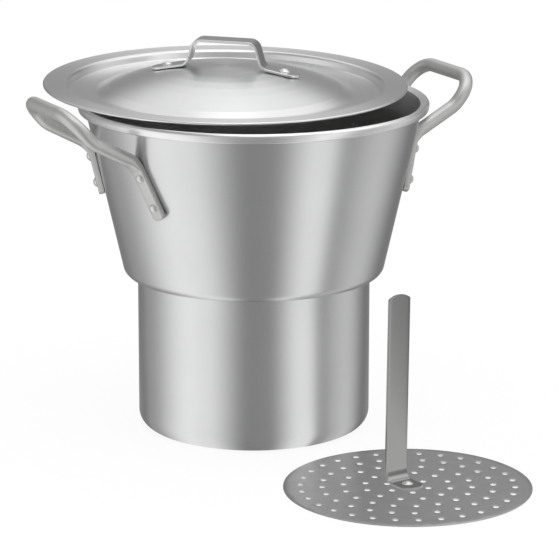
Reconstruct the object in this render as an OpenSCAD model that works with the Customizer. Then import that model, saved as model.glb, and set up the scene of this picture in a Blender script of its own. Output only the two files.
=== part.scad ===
// Couscous steamer in spun aluminium: a water chamber with a cone above it, two riveted rod handles,
// a loose pan lid lying ajar on the rim, and the strainer plate standing beside the pot.
// Millimetres, +Z up, origin at the centre of the pot's base, handles along X.

/* [Pot] */
// Inside diameter of the mouth, at the height of the bead's centre
mouth_d = 239; // [225:1:255]
// Height of the pot over its rim bead
pot_h = 241; // [232:1:256]
// Outside diameter of the water chamber
chamber_d = 168.6; // [160:0.2:174]
// Height of the underside of the ledge
ledge_h = 113.2; // [104:0.2:118]
// Outside diameter of the cone where its line meets the ledge
foot_d = 187; // [182:0.5:196]
// Thickness of the pot's wall
wall = 2; // [1.4:0.1:2.6]
// Outside radius of the rolled rim bead
bead_r = 3.4; // [2.8:0.1:4]
// Outside radius of the corner at the base
base_bend = 11; // [7:0.5:14]
// Radius under the ledge, where it leaves the chamber
ledge_bend = 0.8; // [0.4:0.1:1.2]
// Outside radius of the corner where the ledge turns up into the cone
foot_bend = 7.5; // [5:0.5:8]

/* [Handles] */
// Diameter of the handle rod
rod_d = 9.8; // [8:0.1:11]
// Distance between the two legs of a handle
leg_gap = 78; // [72:1:88]
// Length of a leg from its elbow to where it bends up
leg_len = 33.6; // [30:0.2:38]
// Rise of a leg from the level, in degrees
leg_rise = 28.3; // [22:0.1:34]
// Bend radius where a leg bends up, at the rod's centre line
leg_bend = 14; // [10:1:16]
// Length from where the legs bend up to the grip
grip_len = 24.2; // [23:0.2:30]
// Rise of the handle's outer end from the level, in degrees
grip_rise = 48.9; // [40:0.1:56]
// Bend radius of the handle's corners, at the rod's centre line
corner_bend = 18.4; // [14:0.2:20]
// Depth of the lug's middle below the rim, halfway between its rivets
lug_below = 48.8; // [45:0.2:55]
// How far the lugs lean apart towards their lower ends, in degrees
lug_splay = 21; // [0:0.5:24]
// Width of a flattened lug
lug_w = 10; // [9:0.2:12]
// Thickness of a flattened lug
lug_t = 4.6; // [4:0.2:6]
// Length of the lug below its middle
lug_drop = 21; // [19:0.5:24]
// Length of the flat lug above its middle
lug_rise = 17; // [16:0.5:19]
// Radius of the corners at the lug's lower end
lug_corner = 3.6; // [2:0.2:4.4]
// Length along the wall from the flat lug to the rod's elbow
neck = 8.2; // [6:0.2:10]
// Distance between the two rivets of a lug
rivet_pitch = 23; // [20:0.5:24]
// Diameter of a handle rivet's shank
rivet_d = 4; // [3.4:0.2:4.6]
// Diameter of a handle rivet's domed head
rivet_head_d = 7; // [6.4:0.2:8]
// Height of a handle rivet's head
rivet_head_h = 2.2; // [1.6:0.2:2.6]
// Diameter of the closed end inside the pot
rivet_tail_d = 6.4; // [5.8:0.2:7]
// Height of the closed end inside the pot
rivet_tail_h = 1; // [0.8:0.1:1.4]

/* [Lid] */
// Thickness of the lid's sheet
lid_t = 1.5; // [1.2:0.1:1.8]
// How far the lid's edge stands out past the bead
lid_overhang = 5.5; // [3:0.1:7]
// Side play between the lid's gutter and the mouth
lid_play = 3.3; // [2:0.1:5]
// Depth of the gutter below the flange
gutter_depth = 6.4; // [5:0.2:7.4]
// Width of the gutter's sloping outer wall, seen from above
gutter_draft = 1.7; // [1:0.1:2.5]
// Bend radius at the gutter's outer corners, at mid sheet
gutter_bend = 2.4; // [1.8:0.1:2.8]
// Radius of the round edge of the flange
lid_edge_r = 1; // [0.9:0.1:1.3]
// Height of the dome's top above the flange
dome_rise = 12.8; // [10:0.2:14]
// Radius of the dome's sphere, on its outside
dome_r = 235; // [220:1:250]
// Radius where the dome starts to run out into the gutter
dome_edge_r = 84; // [80:0.5:86]
// Bend radius where the dome runs out into the gutter, at mid sheet
dome_bend = 15; // [10:1:18]
// Lid's centre from the pot's axis, along X
lid_x = -8.9; // [-14:0.1:-4]
// Lid's centre from the pot's axis, along Y
lid_y = 27.1; // [20:0.1:32]
// Tilt of the lid as it lies on the rim, in degrees
lid_tilt = 1.63; // [1.2:0.01:2]
// Direction of the line that the lid is tilted about, in degrees from X
tilt_line = 1.1; // [-10:0.1:12]

/* [Lid handle] */
// Width of the lid handle's strap
grab_w = 16; // [14:0.5:18]
// Thickness of the lid handle's strap
grab_t = 2; // [1.6:0.1:2.4]
// Distance between the two rivets
grab_rivets = 87; // [82:0.5:92]
// Length of a foot past its rivet
grab_toe = 11.4; // [8.5:0.1:12.5]
// Distance between the legs at their feet
grab_foot_gap = 55; // [52:0.5:60]
// Distance between the legs at the bridge
grab_top_gap = 45; // [40:0.5:50]
// Clear height under the bridge, above the dome's top
grab_clear = 17.2; // [14:0.2:22]
// Bend radius of the strap, at mid thickness
grab_bend = 7; // [5:0.5:8]
// Direction of the strap, in degrees from X
grab_angle = -40; // [-60:0.5:0]
// Diameter of the lid rivets' shank
grab_rivet_d = 4; // [3.4:0.2:4.6]
// Diameter of the lid rivets' head
grab_head_d = 8; // [7:0.2:9]
// Height of the lid rivets' head
grab_head_h = 2; // [1.6:0.2:2.4]
// Diameter of the closed end under the lid
grab_tail_d = 7; // [6:0.2:8]
// Height of the closed end under the lid
grab_tail_h = 1; // [0.8:0.1:1.4]

/* [Strainer] */
// How far the plate lies on the ledge, past the chamber's inner wall
plate_lap = 3.6; // [3:0.1:4.2]
// Thickness of the plate
plate_t = 0.8; // [0.8:0.1:1.2]
// Diameter of a steam hole
hole_d = 3.8; // [3:0.1:4]
// Distance from one ring of holes to the next
ring_pitch = 14.8; // [14:0.1:15.4]
// Number of rings of holes
ring_count = 5; // [3:1:5]
// Turn of each ring against the one inside it, in degrees
ring_turn = 37; // [0:1:60]
// Free floor between the chamber and the plate beside it
park_gap = 21.2; // [16:0.2:40]
// Direction of the plate from the pot's axis, in degrees from X
park_angle = -83.5; // [-100:0.1:-60]

/* [Lifting strap] */
// Width of the lifting strap
strap_w = 18; // [16:0.5:22]
// Thickness of the lifting strap
strap_t = 1.8; // [1.4:0.1:2.2]
// Height of the strap's top above the plate's underside
strap_h = 134; // [120:1:145]
// Distance of the upright behind the rivet
strap_back = 14; // [12.5:0.5:16]
// Length of the foot in front of the rivet
strap_toe = 10.5; // [10:0.5:14]
// Bend radius at the foot, at mid thickness
strap_bend = 8; // [6:0.5:8.5]
// Radius of the strap's rounded upper end
strap_crown = 15; // [12:0.5:20]
// Radius of the foot's rounded end
toe_crown = 10; // [9.5:0.5:14]
// Sideways lean of the upright above its bend, in degrees
strap_lean = 0.85; // [0:0.05:1.5]
// Direction in which the foot points, in degrees from X
strap_angle = -83; // [-100:0.5:-50]
// Diameter of the strap rivet's shank
strap_rivet_d = 4; // [3.4:0.2:4.6]
// Diameter of the strap rivet's head
strap_head_d = 7.6; // [7:0.2:9]
// Height of the strap rivet's head
strap_head_h = 1.8; // [1.4:0.1:2.2]
// Diameter of the countersunk end under the plate
strap_sink_d = 5.2; // [4.9:0.1:5.4]

/* [Fits] */
// Gap between a flat piece and the round wall that it is riveted to
seat_gap = 0.05; // [0.02:0.01:0.1]
// Gap under a rivet's closed end, so that it clears a hollow wall
tail_gap = 0.1; // [0.1:0.01:0.16]
// Room round a rivet's shank in its hole
shank_gap = 0.1; // [0.05:0.01:0.2]
// Gap between the lid and the rim where it comes closest
lid_gap = 0.3; // [0.2:0.05:0.5]

/* [Hidden] */
$fn = 96;
arc_error = 0.01;
SIDES = ["right", "left"];
LUGS = ["front", "rear"];
LEVELS = ["upper", "lower"];
function rivet_name(side, lug, level) = str(side, "_handle_rivet_", lug, "_", level);
HANDLE_RIVETS = [for (side = SIDES) for (lug = LUGS) for (level = LEVELS) rivet_name(side, lug, level)];

// Pot: the cone's outer line starts at the ledge, and its inner line ends at the mouth
mouth_r = mouth_d / 2;
chamber_r = chamber_d / 2;
foot_r = foot_d / 2;
bead_z = pot_h - bead_r;
cone_span = [mouth_r - foot_r, bead_z - ledge_h];
cone_a = atan2(cone_span.x, cone_span.y) + asin(wall / norm(cone_span));
cone_up = [sin(cone_a), cos(cone_a)];
cone_out = [cos(cone_a), -sin(cone_a)];
curl_mid_r = bead_r - wall / 2;
bead_centre = [mouth_r + bead_r / cos(cone_a), bead_z];
ledge_mid_z = ledge_h + wall / 2;
function cone_r(z) = foot_r + (z - ledge_h) * tan(cone_a);

// Handle: the elbow stands one rod radius off the wall, up along the leaning lug
lug_z = pot_h - lug_below;
lug_r = cone_r(lug_z);
elbow_off = seat_gap + rod_d / 2;
elbow_up = lug_rise + neck;
elbow_radial = lug_r + elbow_off * cos(cone_a) + elbow_up * cos(lug_splay) * sin(cone_a);
elbow_aside = elbow_up * sin(lug_splay);
lug_azimuth = asin(leg_gap / 2 / norm([elbow_radial, elbow_aside])) + atan2(elbow_aside, elbow_radial);
elbow = [
    elbow_radial * cos(lug_azimuth) + elbow_aside * sin(lug_azimuth),
    lug_z - elbow_off * sin(cone_a) + elbow_up * cos(lug_splay) * cos(cone_a)
];
leg_end = elbow + leg_len * [cos(leg_rise), sin(leg_rise)];
leg_trim = leg_bend * tan((grip_rise - leg_rise) / 2);
flat_slice = 1;
neck_trim = 0.4;

// The rod swells by a hair where its legs bend up, so that its straight stretches end inside the bend
bend_lap = 0.5;
bend_swell = 0.02;

// Handle rivets: a closed end stands off the hollow wall by the wall's curve under it
wall_round = lug_r / cos(cone_a);
tail_aside = rivet_pitch / 2 * sin(lug_splay) + rivet_tail_d / 2;
tail_sag = wall_round - sqrt(pow(wall_round, 2) - pow(tail_aside, 2));

// Lid: heights are measured from the flange's underside
lid_r = bead_centre.x + bead_r + lid_overhang;
flange_mid = lid_t / 2;
gutter_mid = flange_mid - gutter_depth;
dome_mid_r = dome_r - flange_mid;
dome_top_mid = lid_t + dome_rise - flange_mid;
dome_sweep = asin(dome_edge_r / dome_mid_r);
dome_edge_z = dome_top_mid - dome_mid_r * (1 - cos(dome_sweep));
gutter_in_r = dome_edge_r + (dome_edge_z - gutter_mid) / tan(dome_sweep);
gutter_top_r = mouth_r - lid_play - flange_mid;
gutter_out_r = gutter_top_r - gutter_draft;
function dome_z(r) = lid_t + dome_rise - dome_r + sqrt(dome_r * dome_r - r * r);

// Lid's place: its gutter comes down on the rim where the circle of the bead crosses the gutter's floor,
// at the lower one of the two crossings
gutter_flat_r = gutter_out_r - gutter_bend;
lid_off = norm([lid_x, lid_y]);
lid_way = [lid_x, lid_y] / lid_off;
cross_along = (pow(bead_centre.x, 2) - pow(gutter_flat_r, 2) + pow(lid_off, 2)) / (2 * lid_off);
cross_aside = sqrt(pow(bead_centre.x, 2) - pow(cross_along, 2));
touches = [for (hand = [-1, 1])
    cross_along * lid_way + hand * cross_aside * [-lid_way.y, lid_way.x] - [lid_x, lid_y]];
touch_lever = min([for (touch = touches) touch * [-sin(tilt_line), cos(tilt_line)]]);
lid_z = pot_h + lid_gap + gutter_depth - touch_lever * sin(lid_tilt);

// Lid handle: each foot lies on the dome at its rivet, square to the dome there
grab_rivet_r = grab_rivets / 2;
grab_slope = asin(grab_rivet_r / dome_r);
grab_lift = seat_gap + grab_t / 2;
grab_foot = [grab_rivet_r, dome_z(grab_rivet_r)] + grab_lift * [sin(grab_slope), cos(grab_slope)];
grab_along = [cos(grab_slope), -sin(grab_slope)];
grab_tip = grab_foot + grab_toe * grab_along;
grab_heel = grab_foot - (grab_rivet_r - grab_foot_gap / 2) / cos(grab_slope) * grab_along;
grab_top_z = dome_z(0) + grab_clear + grab_t / 2;
grab_toe_centre = grab_tip.x - grab_w / 2;

// Strainer: the plate overlaps the ledge by plate_lap when it is in the pot
plate_r = chamber_r - wall + plate_lap;
park_r = chamber_r + park_gap + plate_r;
strap_foot_mid = plate_t + strap_t / 2;
strap_lean_z = plate_t + strap_t + strap_bend;
strap_shift = (strap_h - strap_lean_z) * tan(strap_lean);

// The points of a bend's arc, on the line that lies d to the left of the sheet's mid line
function arc_points(centre, r, from, turn, d) =
    let (steps = ceil(abs(turn) / (2 * acos(1 - arc_error / r))), side_r = r - sign(turn) * d)
    [for (i = [0 : steps]) centre + side_r * [cos(from + turn * i / steps), sin(from + turn * i / steps)]];

// The points of one corner, where the mid line comes in one way and leaves another with a bend of radius r
function corner_points(before, corner, after, r, d) =
    let (
        way_in = (corner - before) / norm(corner - before),
        way_out = (after - corner) / norm(after - corner),
        turn = atan2(cross(way_in, way_out), way_in * way_out),
        inward = sign(turn) * [-way_in.y, way_in.x],
        centre = corner - r * tan(abs(turn) / 2) * way_in + r * inward
    )
    arc_points(centre, r, atan2(-inward.y, -inward.x), turn, d);

// One side of a bent sheet: the line that lies d to the left of its mid line
function sheet_side(corners, radii, d) =
    let (
        last = len(corners) - 1,
        first_way = (corners[1] - corners[0]) / norm(corners[1] - corners[0]),
        last_way = (corners[last] - corners[last - 1]) / norm(corners[last] - corners[last - 1]),
        points = concat(
            [corners[0] + d * [-first_way.y, first_way.x]],
            [
                for (i = [1 : last - 1])
                    each corner_points(corners[i - 1], corners[i], corners[i + 1], radii[i - 1], d)
            ],
            [corners[last] + d * [-last_way.y, last_way.x]]
        )
    )
    [for (i = [0 : len(points) - 1]) if (i == 0 || norm(points[i] - points[max(i - 1, 0)]) > arc_error) points[i]];

// The section of a bent sheet, t thick: its mid line goes through the corners, with a bend radius at each
module bent_sheet(corners, radii, t) {
    left = sheet_side(corners, radii, t / 2);
    right = sheet_side(corners, radii, -t / 2);
    polygon(concat(right, [for (i = [len(left) - 1 : -1 : 0]) left[i]]));
}

// A solid of revolution about Z from a section that starts on the axis
module turned(reach) {
    rotate_extrude() intersection() {
        children();
        translate([0, -reach]) square([reach, 2 * reach]);
    }
}

// Half the section of a rivet's domed head, which sits at height 0
module rivet_head(head_d, head_h) {
    ball_r = (pow(head_d / 2, 2) + pow(head_h, 2)) / (2 * head_h);
    intersection() {
        translate([0, head_h - ball_r]) circle(r = ball_r);
        square([head_d / 2, head_h]);
    }
}

// A rivet along Z: its head sits at height 0, its shank goes down through the stack, and it is closed below
module rivet(shank_d, stack, head_d, head_h, tail_d, tail_h) {
    rotate_extrude() {
        rivet_head(head_d, head_h);
        translate([0, -stack]) square([shank_d / 2, stack]);
        translate([0, -stack - tail_h]) square([tail_d / 2, tail_h]);
    }
}

// Places a piece on the cone's wall: X points out of the wall and Z up along it
module on_wall(azimuth, z) {
    rotate([0, 0, azimuth]) translate([cone_r(z), 0, z]) rotate([0, cone_a, 0]) children();
}

// Places a handle's pieces at the lug: front is towards -Y, and the left handle mirrors the right one
module at_lug(side, lug) {
    hand = lug == "front" ? -1 : 1;
    mirror([side == "left" ? 1 : 0, 0, 0])
        on_wall(hand * lug_azimuth, lug_z) rotate([hand * lug_splay, 0, 0]) children();
}

// Height of a rivet along the lug
function rivet_up(level) = (level == "upper" ? 1 : -1) * rivet_pitch / 2;

// The pot's wall from the centre of its base to the rolled edge, which turns outwards in three square bends
module pot_section() {
    curl = [for (step = [[-1, 1], [1, 1], [1, -1], [0, -1]])
        bead_centre + curl_mid_r * (step.x * cone_out + step.y * cone_up)];
    bent_sheet(
        concat(
            [
                [0, wall / 2],
                [chamber_r - wall / 2, wall / 2],
                [chamber_r - wall / 2, ledge_mid_z],
                [foot_r - wall / 2 * (1 - sin(cone_a)) / cos(cone_a), ledge_mid_z]
            ],
            curl
        ),
        [base_bend - wall / 2, ledge_bend + wall / 2, foot_bend - wall / 2, curl_mid_r, curl_mid_r, curl_mid_r],
        wall
    );
}

module pot_body() {
    color("silver") difference() {
        turned(2 * pot_h) pot_section();
        for (side = SIDES, lug = LUGS, level = LEVELS)
            at_lug(side, lug) translate([-2 * wall, 0, rivet_up(level)]) rotate([0, 90, 0])
                cylinder(d = rivet_d + 2 * shank_gap, h = 3 * wall);
    }
}

// The outline of a flattened lug, with its length up the page
module lug_outline() {
    translate([-lug_w / 2, lug_corner - lug_drop]) square([lug_w, lug_rise + lug_drop - lug_corner]);
    translate([lug_corner - lug_w / 2, -lug_drop]) square([lug_w - 2 * lug_corner, 2 * lug_corner]);
    for (hand = [-1, 1])
        translate([hand * (lug_w / 2 - lug_corner), lug_corner - lug_drop]) circle(r = lug_corner);
}

// One lug with its rivet holes, and the neck where the rod flattens into it
module lug_and_neck() {
    difference() {
        translate([seat_gap, 0, 0]) rotate([90, 0, 90]) linear_extrude(lug_t) lug_outline();
        for (level = LEVELS)
            translate([0, 0, rivet_up(level)]) rotate([0, 90, 0])
                cylinder(d = rivet_d + 2 * shank_gap, h = seat_gap + 2 * lug_t);
    }
    hull() {
        translate([seat_gap, -lug_w / 2, lug_rise - flat_slice]) cube([lug_t, lug_w, flat_slice]);
        translate([elbow_off, 0, elbow_up]) sphere(d = rod_d - neck_trim, $fn = 32);
    }
}

// The bent rod above the elbows: two legs that bend up, two corners and the grip
module handle_rod() {
    half_grip = leg_gap / 2 - corner_bend;
    for (hand = [-1, 1])
        translate([elbow.x, hand * leg_gap / 2, elbow.y]) rotate([0, -leg_rise, 0]) {
            sphere(d = rod_d);
            rotate([0, 90, 0]) cylinder(d = rod_d, h = leg_len - leg_trim + bend_lap);
            translate([leg_len - leg_trim, 0, leg_bend]) rotate([90, 0, 0]) rotate([0, 0, -90])
                rotate_extrude(angle = grip_rise - leg_rise) translate([leg_bend, 0])
                    circle(d = rod_d + 2 * bend_swell);
        }
    translate([leg_end.x, 0, leg_end.y]) rotate([0, -grip_rise, 0]) {
        for (hand = [-1, 1]) {
            translate([leg_trim - bend_lap, hand * leg_gap / 2, 0]) rotate([0, 90, 0])
                cylinder(d = rod_d, h = grip_len - corner_bend - leg_trim + bend_lap);
            translate([grip_len - corner_bend, hand * half_grip, 0]) rotate([0, 0, hand > 0 ? 0 : -90])
                rotate_extrude(angle = 90) translate([corner_bend, 0]) circle(d = rod_d);
        }
        translate([grip_len, 0, 0]) rotate([90, 0, 0]) cylinder(d = rod_d, h = 2 * half_grip, center = true);
    }
}

module handle(side) {
    mirror([side == "left" ? 1 : 0, 0, 0]) handle_rod();
    for (lug = LUGS)
        at_lug(side, lug) lug_and_neck();
}

module right_handle() {
    color("gainsboro") handle("right");
}

module left_handle() {
    color("gainsboro") handle("left");
}

module handle_rivet(side, lug, level) {
    color("whitesmoke") at_lug(side, lug) translate([seat_gap + lug_t, 0, rivet_up(level)]) rotate([0, 90, 0])
        rivet(
            rivet_d, seat_gap + lug_t + wall + tail_sag + tail_gap,
            rivet_head_d, rivet_head_h, rivet_tail_d, rivet_tail_h
        );
}

// Places the lid's pieces as the lid lies ajar on the rim
module on_rim() {
    translate([lid_x, lid_y, lid_z]) rotate(a = lid_tilt, v = [cos(tilt_line), sin(tilt_line), 0]) children();
}

// Places a piece on the dome at a foot of the lid handle: Z points out of the dome and X down along the foot
module at_foot(hand) {
    rotate([0, 0, grab_angle + (hand > 0 ? 0 : 180)]) translate([grab_rivet_r, 0, dome_z(grab_rivet_r)])
        rotate([0, grab_slope, 0]) children();
}

module lid_section() {
    bent_sheet(
        [
            [0, dome_top_mid],
            [dome_mid_r * tan(dome_sweep / 2), dome_top_mid],
            [gutter_in_r, gutter_mid],
            [gutter_out_r, gutter_mid],
            [gutter_top_r, flange_mid],
            [lid_r - lid_edge_r, flange_mid]
        ],
        [dome_mid_r, dome_bend, gutter_bend, gutter_bend],
        lid_t
    );
    translate([lid_r - lid_edge_r, flange_mid]) circle(r = lid_edge_r);
}

module lid() {
    color("lightgray") on_rim() difference() {
        turned(2 * lid_r) lid_section();
        for (hand = [-1, 1])
            at_foot(hand) cylinder(d = grab_rivet_d + 2 * shank_gap, h = 4 * lid_t, center = true);
    }
}

module lid_handle() {
    half = [grab_tip, grab_heel, [grab_top_gap / 2, grab_top_z]];
    other = [for (i = [len(half) - 1 : -1 : 0]) [-half[i].x, half[i].y]];
    color("gainsboro") on_rim() difference() {
        rotate([0, 0, grab_angle]) intersection() {
            rotate([90, 0, 0]) linear_extrude(grab_w, center = true)
                bent_sheet(concat(half, other), [grab_bend, grab_bend, grab_bend, grab_bend], grab_t);
            linear_extrude(2 * grab_top_z) {
                square([2 * grab_toe_centre, grab_w], center = true);
                for (hand = [-1, 1])
                    translate([hand * grab_toe_centre, 0]) circle(d = grab_w);
            }
        }
        for (hand = [-1, 1])
            at_foot(hand) cylinder(d = grab_rivet_d + 2 * shank_gap, h = 4 * grab_t, center = true);
    }
}

module lid_rivet(hand) {
    color("whitesmoke") on_rim() at_foot(hand) translate([0, 0, seat_gap + grab_t])
        rivet(
            grab_rivet_d, seat_gap + grab_t + lid_t + tail_gap, grab_head_d, grab_head_h, grab_tail_d, grab_tail_h
        );
}

module lid_rivet_left() {
    lid_rivet(-1);
}

module lid_rivet_right() {
    lid_rivet(1);
}

// Places the strainer's pieces on the floor beside the pot, with X along the strap's foot
module beside_pot() {
    translate(park_r * [cos(park_angle), sin(park_angle), 0]) rotate([0, 0, strap_angle]) children();
}

module strainer_plate() {
    color("darkgray") beside_pot() difference() {
        cylinder(r = plate_r, h = plate_t);
        for (ring = [1 : ring_count], i = [1 : 6 * ring])
            rotate([0, 0, ring * ring_turn + i * 60 / ring]) translate([ring * ring_pitch, 0, -plate_t])
                cylinder(d = hole_d, h = 3 * plate_t);
        translate([0, 0, -plate_t]) cylinder(d = strap_rivet_d + 2 * shank_gap, h = 3 * plate_t);
        rotate_extrude() strap_rivet_end(shank_gap);
    }
}

// The strap's outline seen from the front: it leans to one side above its bend and ends in a round crown
module strap_front() {
    half = strap_w / 2;
    crown_z = strap_h - strap_crown;
    crown_x = (crown_z - strap_lean_z) * tan(strap_lean);
    intersection() {
        polygon([
            [-half, 0], [half, 0], [half, strap_lean_z], [half + strap_shift, strap_h],
            [strap_shift - half, strap_h], [-half, strap_lean_z]
        ]);
        union() {
            translate([-strap_w, 0]) square([2 * strap_w, crown_z]);
            translate([crown_x, crown_z]) circle(r = strap_crown);
        }
    }
}

// The strap's outline seen from above: wide enough for the leaning upright, with a round toe
module strap_plan() {
    translate([-2 * strap_back, -strap_w]) square([strap_back + strap_bend, 2 * strap_w]);
    translate([-2 * strap_back, -strap_w / 2]) square([2 * strap_back + strap_toe - toe_crown, strap_w]);
    translate([strap_toe - toe_crown, 0]) circle(r = toe_crown);
}

module lifting_strap() {
    color("darkgray") beside_pot() difference() {
        intersection() {
            rotate([90, 0, 0]) linear_extrude(2 * strap_w, center = true)
                bent_sheet(
                    [[strap_toe, strap_foot_mid], [-strap_back, strap_foot_mid], [-strap_back, strap_h]],
                    [strap_bend], strap_t
                );
            rotate([90, 0, 90]) linear_extrude(4 * strap_back, center = true) strap_front();
            linear_extrude(strap_h) strap_plan();
        }
        translate([0, 0, plate_t / 2]) cylinder(d = strap_rivet_d + 2 * shank_gap, h = plate_t + strap_t);
    }
}

// Half the section of the strap rivet's countersunk end, which lies flush with the plate's underside
module strap_rivet_end(room) {
    sink_r = strap_sink_d / 2 + room;
    shank_r = strap_rivet_d / 2 + room;
    polygon([[0, 0], [sink_r, 0], [shank_r, sink_r - shank_r], [0, sink_r - shank_r]]);
}

module strap_rivet() {
    stack = plate_t + strap_t;
    color("whitesmoke") beside_pot() rotate_extrude() {
        translate([0, stack]) rivet_head(strap_head_d, strap_head_h);
        square([strap_rivet_d / 2, stack]);
        strap_rivet_end(0);
    }
}

pot_body();
right_handle();
left_handle();
for (side = SIDES, lug = LUGS, level = LEVELS)
    handle_rivet(side, lug, level);
lid();
lid_handle();
lid_rivet_left();
lid_rivet_right();
strainer_plate();
lifting_strap();
strap_rivet();
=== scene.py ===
"""Couscous steamer in spun aluminium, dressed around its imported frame.

The pot, its rod handles, the pan lid and the strainer plate are rebuilt as smooth surfaces in the frame's
own place, given brushed and tumbled metal finishes, and set on a plain floor in soft studio light.
"""

import math

import bpy
import numpy as np
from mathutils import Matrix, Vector
from mathutils.geometry import delaunay_2d_cdt


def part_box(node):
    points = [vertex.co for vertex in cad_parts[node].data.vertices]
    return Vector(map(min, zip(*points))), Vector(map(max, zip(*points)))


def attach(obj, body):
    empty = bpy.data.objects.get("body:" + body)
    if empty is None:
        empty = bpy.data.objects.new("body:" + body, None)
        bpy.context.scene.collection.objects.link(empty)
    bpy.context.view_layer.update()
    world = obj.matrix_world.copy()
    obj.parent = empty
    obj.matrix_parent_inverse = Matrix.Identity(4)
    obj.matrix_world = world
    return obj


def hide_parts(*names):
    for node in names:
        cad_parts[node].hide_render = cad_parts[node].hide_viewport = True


bl_info = {
    "name": "Couscous steamer",
    "version": (1, 0, 0),
    "blender": (4, 5, 0),
    "location": "View3D > Sidebar > Steamer",
    "description": "Builds the steamer's surfaces, metal finishes and studio around its packed frame",
    "category": "Object",
}

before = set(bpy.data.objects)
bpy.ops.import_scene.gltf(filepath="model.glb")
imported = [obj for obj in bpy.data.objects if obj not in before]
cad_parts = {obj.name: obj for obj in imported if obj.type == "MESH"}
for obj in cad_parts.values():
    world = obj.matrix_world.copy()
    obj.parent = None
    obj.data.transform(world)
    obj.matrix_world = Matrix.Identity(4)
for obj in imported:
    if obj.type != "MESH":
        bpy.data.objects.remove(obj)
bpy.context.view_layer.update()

POT_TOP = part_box("pot_body")[1].z
LID_LOW, LID_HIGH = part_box("lid")
PLATE_LOW, PLATE_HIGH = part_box("strainer_plate")
STRAP_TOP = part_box("lifting_strap")[1].z
SIDES = ("right", "left")
LUGS = ("front", "rear")
LEVELS = ("upper", "lower")
UP = np.array([0.0, 0.0, 1.0])
UV_NAME = "surface"

# Steps round each kind of surface
POT_STEPS = 224
LID_STEPS = 240
RIVET_STEPS = 36
ROD_STEPS = 40
STRAP_STEPS = 56
HOLE_STEPS = 20
RIM_STEPS = 192
TENT_STEPS = 96
# Steps over the arcs of a section, and the most that a bend turns in one step
EDGE_STEPS = 9
END_STEPS = 24
HEAD_STEPS = 14
TAIL_STEPS = 8
LEAST_BEND_STEPS = 8
BEND_STEP = math.radians(6.0)
# Degrees each way that a sheet's round outer edge covers
EDGE_SWEEP = 80.0
# Distances between the points of a path, in metres
POT_SPACING = 0.005
LID_SPACING = 0.0022
BENT_SPACING = 0.0012
UPRIGHT_SPACING = 0.0025
# Part of a spacing within which two points are one, and decimals to which lengths on a path are rounded
SAME_POINT = 0.05
LENGTH_DIGITS = 6
# The plate's inner points: distance, rows each way, how far off its edges, and how they are joined
FREE_PITCH = 0.0036
FREE_ROWS = 24
HOLE_MARGIN = 0.0012
RIM_MARGIN = 0.0025
INSIDE_WITH_HOLES = 2
MERGE = 1e-7
# Holes in the plate's first ring, which is also how many more each next ring has
RING_HOLES = 6
# Angle from which an edge is sharp, and powers of the soft sections: 2 is round, and more is squarer
SHARP_EDGE = math.radians(40.0)
ROD_POWER = 2.0
LUG_POWER = 6.0
STRAP_POWER = 9.0
# A lug's soft end, the overlap where it turns into the rod, and radii over which unevenness sets in
LUG_EDGE = 0.0008
NECK_FADE = 0.004
WOBBLE_FADE = (0.02, 0.06)
WARP_FADE = (0.012, 0.03)
# Waves of a spun wall's unevenness: strength, number round, radians per metre of height, and shift
WOBBLE_WAVES = ((1.0, 3, 11, 0.0), (0.6, 5, -17, 1.0))
# Waves of the plate's warp along X and along Y: radians per metre, and shift
WARP_WAVES = ((37, 0.7), (29, 1.9))
# Parts of a sheet's thickness: the rounding of its edges, and how deep the strap rivet's end is sunk in it
SOFT_EDGE = 0.3
SUNK = 0.4
# Part of the way round the plate's edges: of the rounding, and of the holes' draw above and below
PART_WAY = 0.3
UPPER_DRAW = 0.35
LOWER_DRAW = 0.2
# A rivet's lip in head radii, the lip's rounding in lips, and the straight part of its closed end
LIP = 0.08
LIP_ROUND = 0.4
TAIL_SIDE = 0.45
# How far the rim's finish reaches, in bead radii, and how many rows past the top the inside's starts. The rim's
# near-white colour is a painted highlight on the bead, and the inside's lighter colour is painted light in its
# shade
BEAD_MARGIN = 1.04
ROWS_PAST_TOP = 4
# Fineness of the brushed streaks and of the tumbled grain, per metre
SPUN_LINES = 2600.0
INSIDE_LINES = 1800.0
LID_LINES = 2200.0
GRAB_LINES = 900.0
LIFTER_LINES = 700.0
SHEET_GRAIN = 1500.0
ROD_GRAIN = 2600.0
RIVET_GRAIN = 3200.0
CUT_GRAIN = 2500.0
# A quarter of a turn, as the shader counts turns, and the sockets of a colour mix
QUARTER_TURN = 0.25
MIX_FACTOR = 0
MIX_FIRST = 6
MIX_SECOND = 7
MIX_RESULT = 2
# The floor's roughness and its specular level, and the width of the camera's sensor in millimetres
FLOOR_ROUGH = 0.9
FLOOR_SHINE = 0.1
SENSOR = 36.0
# Panels and flags of the light tent: degrees from the camera's side, to the right, and brightness
TENT_BANDS = (
    (-180, 0.3), (-155, 0.2), (-128, 0.36), (-68, 1.0), (-50, 0.92), (-4, 0.26), (14, 0.28), (48, 0.93),
    (57, 0.93), (71, 0.36), (78, 0.38), (90, 0.54), (106, 0.64), (150, 0.18), (180, 0.3),
)
# The same for the upper cloth, with its soft boxes at the back and the right
UPPER_BANDS = (
    (-180, 1.1), (-160, 1.05), (-138, 0.45), (-90, 0.25), (0, 0.35), (45, 0.5), (75, 1.2), (120, 1.2),
    (140, 0.7), (160, 1.05), (180, 1.1),
)


def size(name, default, description):
    """A length in metres."""
    return bpy.props.FloatProperty(
        name=name, description=description, default=default, min=0.0, unit="LENGTH", precision=5
    )


def turn(name, degrees, description):
    """An angle, given in degrees."""
    return bpy.props.FloatProperty(
        name=name, description=description, default=math.radians(degrees), subtype="ANGLE", unit="ROTATION"
    )


def share(name, default, description):
    """A number from 0 to 1."""
    return bpy.props.FloatProperty(
        name=name, description=description, default=default, min=0.0, max=1.0, subtype="FACTOR"
    )


def tint(name, default, description):
    """A linear colour."""
    return bpy.props.FloatVectorProperty(
        name=name, description=description, default=default, size=3, min=0.0, max=1.0, subtype="COLOR"
    )


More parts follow.
